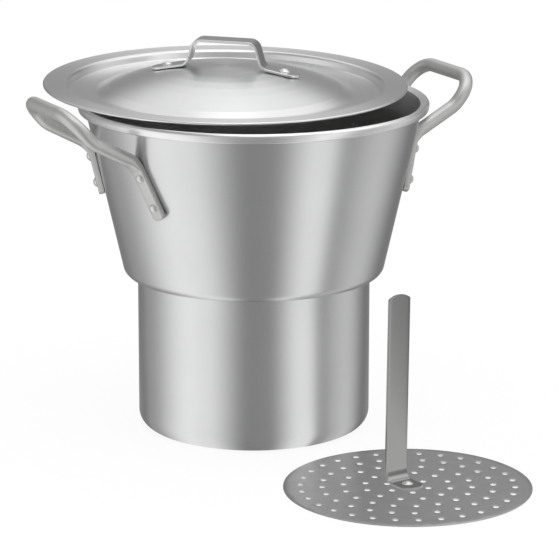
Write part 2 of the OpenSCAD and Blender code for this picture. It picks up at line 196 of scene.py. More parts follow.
def spot(name, default, description):
    """A place in metres."""
    return bpy.props.FloatVectorProperty(
        name=name, description=description, default=default, size=3, subtype="TRANSLATION", unit="LENGTH"
    )


class SteamerPot(bpy.types.PropertyGroup):
    """Sizes of the spun pot."""

    height: size("Height", POT_TOP, "Height over the rim bead")
    mouth_d: size("Mouth", 0.239, "Inside diameter of the mouth at the height of the bead's centre")
    chamber_d: size("Chamber", 0.1686, "Outside diameter of the water chamber")
    ledge_h: size("Ledge", 0.1132, "Height of the underside of the ledge")
    foot_d: size("Cone foot", 0.187, "Outside diameter of the cone where its line meets the ledge")
    wall: size("Wall", 0.002, "Thickness of the wall")
    bead_r: size("Bead", 0.0034, "Outside radius of the rolled rim bead")
    bead_drop: size("Bead drop", 0.0019, "How much taller than round the rolled bead is")
    base_bend: size("Base corner", 0.011, "Outside radius of the corner at the base")
    ledge_bend: size("Ledge corner", 0.0008, "Radius under the ledge, where it leaves the chamber")
    foot_bend: size("Cone corner", 0.0075, "Outside radius where the ledge turns up into the cone")
    wobble: size("Wobble", 0.00007, "How far the spun wall runs out of round")


class SteamerHandle(bpy.types.PropertyGroup):
    """Sizes of a rod handle and its rivets."""

    rod_d: size("Rod", 0.0098, "Diameter of the rod")
    leg_gap: size("Leg distance", 0.078, "Distance between the two legs")
    leg_len: size("Leg", 0.0336, "Length of a leg from its elbow to where it bends up")
    leg_rise: turn("Leg rise", 28.3, "Rise of a leg from the level")
    leg_bend: size("Leg bend", 0.022, "Bend radius where a leg bends up")
    grip_len: size("Outer end", 0.0242, "Length from where the legs bend up to the grip")
    grip_rise: turn("Outer rise", 48.9, "Rise of the handle's outer end from the level")
    corner_bend: size("Corner", 0.0184, "Bend radius of the handle's corners")
    elbow_bend: size("Elbow", 0.013, "Bend radius of the elbow above the lug")
    neck_bend: size("Neck bend", 0.014, "Bend radius where the lug turns into the neck")
    lug_z: size("Lug height", 0.1922, "Height of the lug's middle")
    lug_splay: turn("Lug lean", 21.0, "How far the lugs lean apart towards their lower ends")
    lug_w: size("Lug width", 0.01, "Width of a flattened lug")
    lug_t: size("Lug thickness", 0.0046, "Thickness of a flattened lug")
    lug_drop: size("Lug drop", 0.021, "Length of the lug below its middle")
    lug_rise: size("Lug rise", 0.017, "Length of the flat lug above its middle")
    lug_corner: size("Lug corner", 0.0036, "Radius of the corners at the lug's lower end")
    neck: size("Neck", 0.0082, "Length from the flat lug to the rod's elbow")
    seat_gap: size("Seat", 0.00005, "Gap between the lug and the round wall")
    rivet_pitch: size("Rivet distance", 0.023, "Distance between the two rivets of a lug")
    rivet_d: size("Rivet shank", 0.004, "Diameter of a rivet's shank")
    rivet_head_d: size("Rivet head", 0.007, "Diameter of a rivet's domed head")
    rivet_head_h: size("Rivet head height", 0.0022, "Height of a rivet's head")
    rivet_tail_d: size("Rivet end", 0.0064, "Diameter of the closed end inside the pot")
    rivet_tail_h: size("Rivet end height", 0.001, "Height of the closed end inside the pot")


class SteamerLid(bpy.types.PropertyGroup):
    """Sizes of the pan lid, its strap handle and their rivets."""

    radius: size("Radius", (LID_HIGH.x - LID_LOW.x) / 2, "Radius of the lid's edge")
    sheet: size("Sheet", 0.0015, "Thickness of the sheet")
    play: size("Play", 0.0033, "Side play between the lid's gutter and the mouth")
    gutter_depth: size("Gutter", 0.0064, "Depth of the gutter below the flange")
    gutter_draft: size("Gutter slope", 0.0017, "Width of the gutter's sloping outer wall, seen from above")
    gutter_bend: size("Gutter corner", 0.0024, "Bend radius at the gutter's outer corners")
    edge_r: size("Edge", 0.001, "Radius of the round edge of the flange")
    dome_rise: size("Dome", 0.0128, "Height of the dome's top above the flange")
    dome_r: size("Dome sphere", 0.235, "Radius of the dome's sphere, on its outside")
    dome_edge_r: size("Dome edge", 0.084, "Radius where the dome starts to run out into the gutter")
    dome_bend: size("Dome run-out", 0.015, "Bend radius where the dome runs out into the gutter")
    tilt: turn("Tilt", 1.63, "Tilt of the lid as it lies on the rim")
    tilt_line: turn("Tilt line", 1.1, "Direction of the line that the lid is tilted about")
    strap_w: size("Strap width", 0.016, "Width of the strap handle")
    strap_t: size("Strap thickness", 0.002, "Thickness of the strap handle")
    strap_turn: turn("Strap direction", -40.0, "Direction of the strap handle")
    rivet_gap: size("Rivet distance", 0.087, "Distance between the two rivets")
    toe: size("Toe", 0.0114, "Length of a foot past its rivet")
    foot_gap: size("Feet", 0.055, "Distance between the legs at their feet")
    top_gap: size("Bridge", 0.045, "Distance between the legs at the bridge")
    clear: size("Clear height", 0.0172, "Clear height under the bridge, above the dome's top")
    strap_bend: size("Strap bend", 0.007, "Bend radius of the strap")
    seat_gap: size("Seat", 0.00005, "Gap between a foot and the dome")
    rivet_d: size("Rivet shank", 0.004, "Diameter of a rivet's shank")
    rivet_head_d: size("Rivet head", 0.008, "Diameter of a rivet's head")
    rivet_head_h: size("Rivet head height", 0.002, "Height of a rivet's head")
    rivet_tail_d: size("Rivet end", 0.007, "Diameter of the closed end under the lid")
    rivet_tail_h: size("Rivet end height", 0.001, "Height of the closed end under the lid")


class SteamerStrainer(bpy.types.PropertyGroup):
    """Sizes of the perforated plate, its lifting strap and their rivet."""

    radius: size("Radius", (PLATE_HIGH.x - PLATE_LOW.x) / 2, "Radius of the plate")
    sheet: size("Sheet", PLATE_HIGH.z, "Thickness of the plate")
    hole_d: size("Hole", 0.0038, "Diameter of a steam hole")
    hole_edge: size("Hole edge", 0.0003, "How far the punch has drawn in a hole's upper edge")
    ring_pitch: size("Ring distance", 0.0148, "Distance from one ring of holes to the next")
    ring_count: bpy.props.IntProperty(name="Rings", description="Number of rings of holes", default=5, min=1)
    ring_turn: turn("Ring turn", 37.0, "Turn of each ring against the one inside it")
    warp: size("Warp", 0.0002, "How far the thin plate is out of flat")
    strap_turn: turn("Strap direction", -83.0, "Direction in which the strap's foot points")
    strap_w: size("Strap width", 0.018, "Width of the lifting strap")
    strap_t: size("Strap thickness", 0.0018, "Thickness of the lifting strap")
    strap_h: size("Strap height", STRAP_TOP, "Height of the strap's top above the floor")
    strap_back: size("Upright", 0.014, "Distance of the upright behind the rivet")
    strap_toe: size("Toe", 0.0105, "Length of the foot in front of the rivet")
    strap_bend: size("Strap bend", 0.008, "Bend radius at the foot")
    strap_lean: turn("Strap lean", 0.85, "Sideways lean of the upright above its bend")
    crown: size("Crown", 0.015, "Radius of the strap's rounded upper end")
    toe_crown: size("Toe crown", 0.01, "Radius of the foot's rounded end")
    rivet_d: size("Rivet shank", 0.004, "Diameter of the rivet's shank")
    rivet_head_d: size("Rivet head", 0.0076, "Diameter of the rivet's head")
    rivet_head_h: size("Rivet head height", 0.0018, "Height of the rivet's head")
    sink_d: size("Rivet end", 0.0052, "Diameter of the countersunk end under the plate")


class SteamerFinish(bpy.types.PropertyGroup):
    """Colours and sheen of the metal finishes."""

    spun: tint("Spun wall", (0.78, 0.785, 0.785), "Colour of the brushed outside of the pot")
    # The inside is set lighter than the brushed outside: painted light in the pot's shaded hollow; its dull
    # roughness is its own
    inside: tint("Inside", (0.82, 0.82, 0.81), "Colour of the dull inside of the pot")
    lid: tint("Lid sheet", (0.79, 0.795, 0.795), "Colour of the brushed dome")
    # Lighter than the dome of the same sheet: a painted highlight on the flange and gutter, over their own
    # brushed finish
    flange: tint("Lid flange", (0.93, 0.935, 0.935), "Colour of the turned flange and gutter")
    rod: tint("Handle rod", (0.69, 0.69, 0.68), "Colour of the tumbled handle rod")
    strap: tint("Lid strap", (0.88, 0.885, 0.885), "Colour of the polished lid handle")
    rivet: tint("Rivet", (0.82, 0.82, 0.81), "Colour of the rivets")
    mill: tint("Mill sheet", (0.58, 0.58, 0.575), "Colour of the matt strainer sheet")
    # Darker than the plate: partly the strap's own tone, partly painted shade in place of the dark reflection on
    # its face
    lifter_tone_and_shade: tint("Lifting strap", (0.36, 0.36, 0.355), "Colour of the rolled lifting strap")
    # Freshly punched metal set near white: partly its own brightness, partly painted light standing in for the
    # light seen through the holes
    cut: tint("Cut edge", (0.94, 0.94, 0.935), "Colour of the freshly punched edges")
    # Near white, on the same sheet as the wall: a painted highlight along the bead; its smoother finish is the
    # rim's own
    rim: tint("Rolled rim", (0.95, 0.95, 0.95), "Colour of the smooth rolled rim")
    spun_rough: share("Spun sheen", 0.3, "Roughness of the brushed sheet")
    rod_rough: share("Rod sheen", 0.5, "Roughness of the tumbled rod")
    strap_rough: share("Strap sheen", 0.11, "Roughness of the polished strap")
    mill_rough: share("Mill sheen", 0.36, "Roughness of the matt sheet")
    lifter_rough: share("Lifter sheen", 0.18, "Roughness of the lifting strap")
    inside_rough: share("Inside sheen", 0.75, "Roughness of the dull inside")
    rim_rough: share("Rim sheen", 0.3, "Roughness of the rolled rim")
    rivet_rough: share("Rivet sheen", 0.42, "Roughness of the rivets")
    cut_rough: share("Cut sheen", 0.45, "Roughness of the punched edges")
    spun_draw: share("Spun highlight", 0.75, "How far the pot's highlights are drawn out")
    dome_draw: share("Dome highlight", 0.5, "How far the dome's highlights are drawn out")
    flange_draw: share("Flange highlight", 0.85, "How far the flange's highlights are drawn out")
    strap_draw: share("Strap highlight", 0.3, "How far the straps' highlights are drawn out")


class SteamerStage(bpy.types.PropertyGroup):
    """The floor, the studio and the camera."""

    floor: tint("Floor", (0.98, 0.98, 0.98), "Colour of the floor")
    floor_glow: share("Floor glow", 0.9, "Part of the floor's white that no shadow darkens")
    floor_size: size("Floor size", 24.0, "Width of the floor")
    view_turn: turn("View", -27.5, "Direction of the camera's view, from straight ahead")
    view_drop: turn("View drop", 14.4, "How far the camera looks down")
    view_place: spot("Camera place", (-1.0334, -2.0264, 0.6906), "Where the camera stands")
    lens: bpy.props.FloatProperty(
        name="Lens", description="Focal length of the camera, in millimetres", default=207.2, min=1.0
    )
    tent_r: size("Tent radius", 1.6, "Radius of the light tent that the metal reflects")
    tent_h: size("Tent height", 2.6, "Height of the light tent's wall")
    round_r: size("Round wall", 0.0843, "Radius of the wall on which the bands stand upright")
    wall_low: size("Banded wall", 0.75, "Height below which the wall has the floor's bands")
    wall_high: size("Upper cloth", 1.7, "Height above which the wall has the upper cloth")
    mat_r: size("Mat hole", 0.07, "Radius of the bare floor in the middle of the tent's mat")
    mat_lift: size("Mat height", 0.0002, "Height of the tent's mat above the floor")
    vent_r: size("Tent vent", 0.1, "Radius of the opening in the tent's ceiling")
    lamp_place: spot("Lamp place", (-0.1, -0.4, 2.2), "Where the overhead lamp hangs")
    lamp_size: size("Lamp size", 1.4, "Width of the overhead soft lamp")
    lamp_power: bpy.props.FloatProperty(
        name="Lamp", description="Power of the overhead soft lamp", default=6.0, min=0.0, unit="POWER"
    )


GROUPS = {
    "steamer_pot": SteamerPot,
    "steamer_handle": SteamerHandle,
    "steamer_lid": SteamerLid,
    "steamer_strainer": SteamerStrainer,
    "steamer_finish": SteamerFinish,
    "steamer_stage": SteamerStage,
}


def unit(vector):
    """A vector, or each row of an array of vectors, scaled to length 1."""
    vector = np.asarray(vector, float)
    return vector / np.linalg.norm(vector, axis=-1, keepdims=True)


def heading(angle):
    """The level direction at an angle from X."""
    return np.array([math.cos(angle), math.sin(angle), 0.0])


def round_loop(steps):
    """Points in equal steps round a circle of radius 1."""
    around = np.linspace(0.0, 2 * math.pi, steps, endpoint=False)
    return np.stack([np.cos(around), np.sin(around)], axis=1)


def box_middle(low, high, height):
    """The middle of a packed box seen from above, at a height."""
    return np.array([(low.x + high.x) / 2, (low.y + high.y) / 2, height])


def rounded_path(corners, radii, spacing):
    """A line through the corners, with an arc of the given radius at each inner corner.

    The arc is tangent to both runs: it starts radius times tan(half the turn) before the corner. Points lie
    at most spacing apart.
    """
    corners = np.asarray(corners, float)
    stretches = [corners[:1]]
    for before, corner, after, radius in zip(corners, corners[1:], corners[2:], radii):
        way_in = unit(corner - before)
        way_out = unit(after - corner)
        bend = math.acos(float(np.clip(way_in @ way_out, -1.0, 1.0)))
        inward = unit(way_out - (way_in @ way_out) * way_in)
        steps = max(LEAST_BEND_STEPS, math.ceil(bend / BEND_STEP))
        sweep = np.linspace(0.0, bend, steps + 1)[:, None]
        start = corner - radius * math.tan(bend / 2) * way_in
        stretches.append(start + radius * (np.sin(sweep) * way_in + (1 - np.cos(sweep)) * inward))
    stretches.append(corners[-1:])
    points = np.concatenate(stretches)
    lengths = path_length(points)
    even = np.linspace(0.0, lengths[-1], max(2, math.ceil(lengths[-1] / spacing)))
    marks = np.sort(np.concatenate([lengths, even]))
    marks = marks[np.concatenate([[True], np.diff(marks) > spacing * SAME_POINT])]
    return resampled(points, marks)


def path_length(points):
    """Length along a line of points, from its start to each point."""
    return np.concatenate([[0.0], np.cumsum(np.linalg.norm(np.diff(points, axis=0), axis=1))])


def resampled(points, marks):
    """The points of a line at the given lengths from its start."""
    lengths = path_length(points)
    return np.stack([np.interp(marks, lengths, column) for column in points.T], axis=1)


def tangents(points):
    """Direction of a line at each of its points, from the points on both sides."""
    return unit(np.gradient(points, path_length(points), axis=0))


def smooth_step(value, low, high):
    """0 below low, 1 above high, and 3 x squared minus 2 x cubed in between."""
    x = np.clip((value - low) / (high - low), 0.0, 1.0)
    return x * x * (3 - 2 * x)


def quarter_round(distance, radius):
    """Height of a quarter circle at a distance from its start: 0 there, and the radius from its top on."""
    return np.sqrt(radius**2 - np.clip(radius - distance, 0.0, radius) ** 2)


def sheet_outline(mid, sheet, edge_r):
    """The closed section of a bent sheet that starts on the axis: right side, round edge, left side back.

    Each side lies half the sheet from the mid line, and the edge is a half circle of radius edge_r.
    """
    way = tangents(mid)
    left = np.stack([-way[:, 1], way[:, 0]], axis=1)
    to_edge = path_length(mid)[-1] - path_length(mid)
    half = sheet / 2 + (edge_r - sheet / 2) * (1 - smooth_step(to_edge, 0.0, 2 * sheet))
    sweep = np.radians(np.linspace(-EDGE_SWEEP, EDGE_SWEEP, EDGE_STEPS))[:, None]
    edge = mid[-1] + edge_r * (np.cos(sweep) * way[-1] + np.sin(sweep) * left[-1])
    right_side = mid - half[:, None] * left
    left_side = mid + half[:, None] * left
    return np.concatenate([right_side, edge, left_side[::-1]])


def grid_quads(rows, columns):
    """Quads of a grid whose columns close into rings, and the row and column of each quad's corners."""
    row, column = np.meshgrid(np.arange(rows - 1), np.arange(columns), indexing="ij")
    row, column = row.ravel(), column.ravel()
    corner_row = np.stack([row, row, row + 1, row + 1], axis=1)
    corner_column = np.stack([column, column + 1, column + 1, column], axis=1)
    return corner_row * columns + corner_column % columns, corner_row, corner_column


def tube(rings, along, first_end, last_end):
    """A closed surface from an array of rings, with a single point closing each end.

    rings has a row of points for each step along the piece, and along gives each row's length for the UV map.
    """
    rows, columns = rings.shape[:2]
    quads, corner_row, corner_column = grid_quads(rows, columns)
    points = np.concatenate([rings.reshape(-1, 3), [first_end, last_end]])
    faces = quads.tolist()
    uv = [np.stack([corner_column / columns, along[corner_row]], axis=-1).reshape(-1, 2)]
    column = np.arange(columns)
    for end, row, corners in ((0, 0, (column + 1, column)), (1, rows - 1, (column, column + 1))):
        corners = np.stack(corners, axis=1)
        tip = np.full((columns, 1), rows * columns + end)
        faces += np.concatenate([tip, row * columns + corners % columns], axis=1).tolist()
        across = np.concatenate([column[:, None] + 0.5, corners], axis=1) / columns
        uv.append(np.stack([across, np.full(across.shape, along[row])], axis=-1).reshape(-1, 2))
    return points, faces, np.concatenate(uv)


def revolved(outline, steps, wobble=0.0):
    """An outline that starts and ends on the axis, carried round Z in equal steps.

    A point (r, z) goes to (r cos a, r sin a, z). With wobble, r swells and shrinks a little with a and z.
    """
    inner = outline[1:-1]
    around = np.linspace(0.0, 2 * math.pi, steps, endpoint=False)
    radius = np.broadcast_to(inner[:, :1], (len(inner), steps))
    height = np.broadcast_to(inner[:, 1:], (len(inner), steps))
    drift = sum(strength * np.sin(number * around + rise * height + shift)
                for strength, number, rise, shift in WOBBLE_WAVES)
    radius = radius + wobble * drift * smooth_step(radius, *WOBBLE_FADE)
    rings = np.stack([radius * np.cos(around), radius * np.sin(around), height], axis=-1)
    return tube(rings, path_length(inner), outline[0, 1] * UP, outline[-1, 1] * UP)


def oval_sections(half_width, half_depth, power, steps):
    """Rings of superellipses: x = a cos^(2/n), y = b sin^(2/n), one ring for each a, b and n.

    A power n of 2 gives an ellipse, and a higher one a rectangle with soft corners.
    """
    around = np.linspace(0.0, 2 * math.pi, steps, endpoint=False)
    bend = (2.0 / power)[:, None]
    cosine, sine = np.cos(around), np.sin(around)
    across = half_width[:, None] * np.sign(cosine) * np.abs(cosine) ** bend
    deep = half_depth[:, None] * np.sign(sine) * np.abs(sine) ** bend
    return across, deep


def carried(path, up, across, deep):
    """Sections carried along a path: a point is path + across * side + depth * up.

    up says at each point of the path which way a section's depth lies, and side is square to it and the path.
    """
    side = np.cross(up, tangents(path))
    return path[:, None] + across[..., None] * side[:, None] + deep[..., None] * up[:, None]


def dense_ends(path, crown):
    """A path with extra points close to its two ends, where a strap's round outline curves fastest."""
    length = path_length(path)
    fine = crown * (1 - np.cos(np.linspace(0.0, math.pi / 2, END_STEPS)))
    marks = np.unique(np.round(np.concatenate([length, fine, length[-1] - fine]), LENGTH_DIGITS))
    return resampled(path, marks[(marks >= 0.0) & (marks <= length[-1])])


def frame_of(axis):
    """A turn that takes Z to the given axis, as a matrix whose columns are the new X, Y and Z."""
    axis = unit(axis)
    start = np.array([1.0, 0.0, 0.0]) if abs(axis[0]) < 0.9 else np.array([0.0, 1.0, 0.0])
    x = unit(np.cross(start, axis))
    return np.stack([x, np.cross(axis, x), axis], axis=1)


def turn_about(axis, angle):
    """The matrix of a turn about an axis, from the axis and its cross product."""
    x, y, z = unit(axis)
    skew = np.array([[0.0, -z, y], [z, 0.0, -x], [-y, x, 0.0]])
    return np.eye(3) + math.sin(angle) * skew + (1 - math.cos(angle)) * (skew @ skew)


def rivet_shape(sizes, stack, tail_d, tail_h):
    """A hammered rivet along Z: domed head over height 0, shank through the stack, and closed end below."""
    shank_r, tail_r = sizes.rivet_d / 2, tail_d / 2
    head_r, head_h = sizes.rivet_head_d / 2, sizes.rivet_head_h
    ball = (head_r**2 + head_h**2) / (2 * head_h)
    sweep = np.linspace(0.0, math.asin(min(1.0, head_r / ball)), HEAD_STEPS)
    lip = LIP * head_r
    rounding = lip * LIP_ROUND
    tail_side = tail_h * TAIL_SIDE
    head = np.stack([ball * np.sin(sweep), head_h - ball * (1 - np.cos(sweep))], axis=1)
    head[:, 1] = np.maximum(head[:, 1], lip)
    neck = np.array([[head_r, rounding], [head_r - rounding, 0.0], [shank_r, 0.0], [shank_r, -stack],
                     [tail_r - rounding, -stack], [tail_r, -stack - rounding]])
    fall = np.linspace(0.0, math.pi / 2, TAIL_STEPS)
    drop = tail_side + (tail_h - tail_side) * np.sin(fall)
    tail = np.stack([tail_r * np.cos(fall), -stack - drop], axis=1)
    outline = np.concatenate([head, neck, tail])[::-1]
    outline[0, 0] = 0.0
    return revolved(outline, RIVET_STEPS)


def set_up(name, data):
    """An object put into the scene."""
    made = bpy.data.objects.new(name, data)
    bpy.context.scene.collection.objects.link(made)
    return made


def add_mesh(name, points, faces, materials):
    """An object with a mesh of the given points, faces and materials."""
    mesh = bpy.data.meshes.new(name)
    mesh.from_pydata(points.tolist(), [], faces)
    for material in materials:
        mesh.materials.append(material)
    return set_up(name, mesh)


def piece(name, shape, body, nodes, materials):
    """Puts a worked-out surface into a smooth mesh, rides it on its body and lets it stand for its nodes."""
    points, faces, uv = shape
    made = add_mesh(name, points, faces, materials)
    mesh = made.data
    layer = mesh.uv_layers.new(name=UV_NAME)
    layer.data.foreach_set("uv", np.ascontiguousarray(uv, np.float32).ravel())
    mesh.shade_smooth()
    mesh.set_sharp_from_angle(angle=SHARP_EDGE)
    mesh.validate()
    mesh.update()
    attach(made, body)
    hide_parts(*nodes)
    return made


def set_finishes(made, by_row, steps, ends):
    """Gives a turned piece's faces their materials: one for each row of quads, and one for each end."""
    index = np.repeat(np.concatenate([by_row, ends]), steps)
    made.data.polygons.foreach_set("material_index", index.astype(np.int32))


def moved(shape, matrix, place):
    """A shape turned by a matrix and then moved to a place."""
    points, faces, uv = shape
    return points @ matrix.T + place, faces, uv


def mirrored(shape, axis):
    """A shape mirrored along an axis, with its faces turned round so that they still point outwards."""
    points, faces, uv = shape
    points = points.copy()
    points[:, axis] *= -1
    counts = [len(face) for face in faces]
    ends = np.cumsum(counts)
    back = [uv[end - count:end][::-1] for end, count in zip(ends, counts)]
    return points, [face[::-1] for face in faces], np.concatenate(back)


def add_node(tree, kind, place, **values):
    """A shader node at a place in the tree, with the given properties and input values."""
    made = tree.nodes.new(kind)
    made.location = place
    for key, value in values.items():
        if key in made.inputs:
            made.inputs[key].default_value = value
        else:
            setattr(made, key, value)
    return made


def link(source, out, target, into):
    """Joins an output of one shader node to an input of another in the same tree."""
    source.id_data.links.new(source.outputs[out], target.inputs[into])


def worked(tree, place, operation, first, second):
    """The output of a Math node: each of its two values is a fixed number or another node's output."""
    made = add_node(tree, "ShaderNodeMath", place, operation=operation)
    for socket, value in zip(made.inputs, (first, second)):
        if isinstance(value, float):
            socket.default_value = value
        else:
            tree.links.new(value, socket)
    return made.outputs[0]


def metal(name, colour, roughness, anisotropy=0.0):
    """A metal material with its node tree and its shader, which has the given values, ready for a finish."""
    material = bpy.data.materials.new(name)
    material.use_nodes = True
    material.diffuse_color = (*colour, 1.0)
    tree = material.node_tree
    shader = tree.nodes["Principled BSDF"]
    shader.inputs["Base Color"].default_value = (*colour, 1.0)
    shader.inputs["Metallic"].default_value = 1.0
    shader.inputs["Roughness"].default_value = roughness
    shader.inputs["Anisotropic"].default_value = anisotropy
    return material, tree, shader


def blend_colour(tree, shader, factor, colour, low, high):
    """The shader's colour runs from low to high times the colour as the factor goes from 0 to 1."""
    mix = add_node(tree, "ShaderNodeMix", (-300, 200), data_type="RGBA")
    for socket, scale in ((MIX_FIRST, low), (MIX_SECOND, high)):
        mix.inputs[socket].default_value = (*[min(1.0, part * scale) for part in colour], 1.0)
    tree.links.new(factor, mix.inputs[MIX_FACTOR])
    link(mix, MIX_RESULT, shader, "Base Color")


def blend_roughness(tree, shader, factor, low, high):
    """The shader's roughness runs from low to high as the factor goes from 0 to 1."""
    spread = add_node(tree, "ShaderNodeMapRange", (-300, -60), **{"To Min": low, "To Max": high})
    tree.links.new(factor, spread.inputs["Value"])
    link(spread, "Result", shader, "Roughness")


def brushed(name, colour, roughness, anisotropy, lines):
    """Sheet brushed along the lines of its UV map: fine streaks that run round, and soft clouds of wear.

    The first UV coordinate runs along the streaks, and lines says how fine they are, per metre across them.
    The highlight is drawn out square to the streaks, a quarter of a turn from them.
    """
    material, tree, shader = metal(name, colour, roughness, anisotropy)
    shader.inputs["Anisotropic Rotation"].default_value = QUARTER_TURN
    uv = add_node(tree, "ShaderNodeUVMap", (-1300, 0), uv_map=UV_NAME)
    stretch = add_node(tree, "ShaderNodeMapping", (-1100, 0), Scale=(0.0, lines, 1.0))
    streaks = add_node(tree, "ShaderNodeTexNoise", (-900, 0), Scale=1.0, Detail=3.0, Roughness=0.6)
    place = add_node(tree, "ShaderNodeTexCoord", (-1300, 400))
    clouds = add_node(tree, "ShaderNodeTexNoise", (-900, 400), Scale=22.0, Detail=4.0, Roughness=0.55)
    bump = add_node(tree, "ShaderNodeBump", (-300, -300), Strength=0.06, Distance=0.00006)
    along = add_node(tree, "ShaderNodeTangent", (-300, -520), direction_type="UV_MAP", uv_map=UV_NAME)
    link(uv, "UV", stretch, "Vector")
    link(stretch, "Vector", streaks, "Vector")
    link(place, "Object", clouds, "Vector")
    both = worked(tree, (-600, 200), "MULTIPLY", streaks.outputs["Fac"], clouds.outputs["Fac"])
    blend_colour(tree, shader, both, colour, low=0.95, high=1.12)
    blend_roughness(tree, shader, streaks.outputs["Fac"], low=roughness * 0.85, high=roughness * 1.15)
    link(streaks, "Fac", bump, "Height")
    link(bump, "Normal", shader, "Normal")
    link(along, "Tangent", shader, "Tangent")
    return material


def tumbled(name, colour, roughness, grain):
    """Metal tumbled to an even satin: small pits and soft clouds, the same in every direction."""
    material, tree, shader = metal(name, colour, roughness)
    place = add_node(tree, "ShaderNodeTexCoord", (-1100, 0))
    pits = add_node(tree, "ShaderNodeTexNoise", (-800, 0), Scale=grain, Detail=4.0, Roughness=0.65)
    clouds = add_node(tree, "ShaderNodeTexNoise", (-800, 300), Scale=90.0, Detail=3.0, Roughness=0.5)
    bump = add_node(tree, "ShaderNodeBump", (-300, -300), Strength=0.2, Distance=0.0001)
    link(place, "Object", pits, "Vector")
    link(place, "Object", clouds, "Vector")
    blend_colour(tree, shader, clouds.outputs["Fac"], colour, low=0.92, high=1.06)
    blend_roughness(tree, shader, pits.outputs["Fac"], low=roughness * 0.8, high=roughness * 1.2)
    link(pits, "Fac", bump, "Height")
    link(bump, "Normal", shader, "Normal")
    return material


def cone_lean(pot):
    """Lean of the cone's wall: its outer line starts at the ledge, and its inner line ends at the mouth."""
    out = pot.mouth_d / 2 - pot.foot_d / 2
    rise = pot.height - pot.bead_r - pot.ledge_h
    return math.atan2(out, rise) + math.asin(pot.wall / math.hypot(out, rise))


def cone_radius(pot, height):
    """Outside radius of the cone at a height."""
    return pot.foot_d / 2 + (height - pot.ledge_h) * math.tan(cone_lean(pot))


def bead_middle(pot):
    """Radius and height of the middle of the rim's round bead."""
    return np.array([pot.mouth_d / 2 + pot.bead_r / math.cos(cone_lean(pot)), pot.height - pot.bead_r])


def pot_outline(pot):
    """The pot's section: base, chamber, ledge, cone and a rim that curls outwards in three square bends."""
    lean = cone_lean(pot)
    half = pot.wall / 2
    out = np.array([math.cos(lean), -math.sin(lean)])
    up = np.array([math.sin(lean), math.cos(lean)])
    curl_r = pot.bead_r - half
    bead = bead_middle(pot)
    chamber = pot.chamber_d / 2 - half
    ledge = pot.ledge_h + half
    foot = pot.foot_d / 2 - half * (1 - math.sin(lean)) / math.cos(lean)
    corners = [[0.0, half], [chamber, half], [chamber, ledge], [foot, ledge]]
    corners += [bead + curl_r * (up - out), bead + curl_r * (up + out)]
    corners += [bead + curl_r * (out - up) - pot.bead_drop * up, bead - (curl_r + pot.bead_drop) * up]
    radii = [pot.base_bend - half, pot.ledge_bend + half, pot.foot_bend - half, curl_r, curl_r, curl_r]
    return sheet_outline(rounded_path(corners, radii, POT_SPACING), pot.wall, half)


class STEAMER_OT_pot(bpy.types.Operator):
    """Spin the pot, with its brushed outside and dull inside"""

    bl_idname = "steamer.pot"
    bl_label = "Pot"

    def execute(self, context):
        pot, finish = context.scene.steamer_pot, context.scene.steamer_finish
        outline = pot_outline(pot)
        shape = revolved(outline, POT_STEPS, pot.wobble)
        spun = brushed("spun_wall", finish.spun, finish.spun_rough, finish.spun_draw, SPUN_LINES)
        # The inside's lighter colour is painted light in the shaded hollow under the lid
        dull = brushed("dull_inside_painted_light", finish.inside, finish.inside_rough, 0.0, INSIDE_LINES)
        # The rim's near-white colour is a painted highlight along the bead
        rolled = tumbled("rim_painted_highlight", finish.rim, finish.rim_rough, SHEET_GRAIN)
        made = piece("spun_pot", shape, "pot", ["pot_body"], [spun, dull, rolled])
        inner = outline[1:-1]
        lean = cone_lean(pot)
        down = np.array([-math.sin(lean), -math.cos(lean)])
        from_bead = inner - bead_middle(pot)
        below = np.clip(from_bead @ down, 0.0, pot.bead_drop)
        near = np.linalg.norm(from_bead - below[:, None] * down, axis=1) < pot.bead_r * BEAD_MARGIN
        past_top = np.arange(len(inner) - 1) > np.argmax(inner[:, 1]) + ROWS_PAST_TOP
        # Rows at the bead take the rim's painted highlight, rows inside the top take the inside's painted light
        set_finishes(made, np.where(near[:-1] & near[1:], 2, past_top), POT_STEPS, (0, 1))
        return {"FINISHED"}


def lug_frame(pot, handle, side, lug):
    """Where a lug sits on the cone: its middle on the wall, the way out and the way up along the lug."""
    lean = cone_lean(pot)
    hand = -1 if lug == "front" else 1
    splay = hand * handle.lug_splay
    radius = cone_radius(pot, handle.lug_z)
    off = handle.seat_gap + handle.rod_d / 2
    reach = handle.lug_rise + handle.neck
    radial = radius + off * math.cos(lean) + reach * math.cos(splay) * math.sin(lean)
    aside = reach * math.sin(handle.lug_splay)
    azimuth = math.asin(handle.leg_gap / 2 / math.hypot(radial, aside)) + math.atan2(aside, radial)
    outward = heading(hand * azimuth)
    out = math.cos(lean) * outward - math.sin(lean) * UP
    wall_up = math.sin(lean) * outward + math.cos(lean) * UP
    up = math.cos(splay) * wall_up - math.sin(splay) * np.cross(UP, outward)
    middle = radius * outward + handle.lug_z * UP
    flip = np.array([-1.0 if side == "left" else 1.0, 1.0, 1.0])
    return middle * flip, out * flip, up * flip


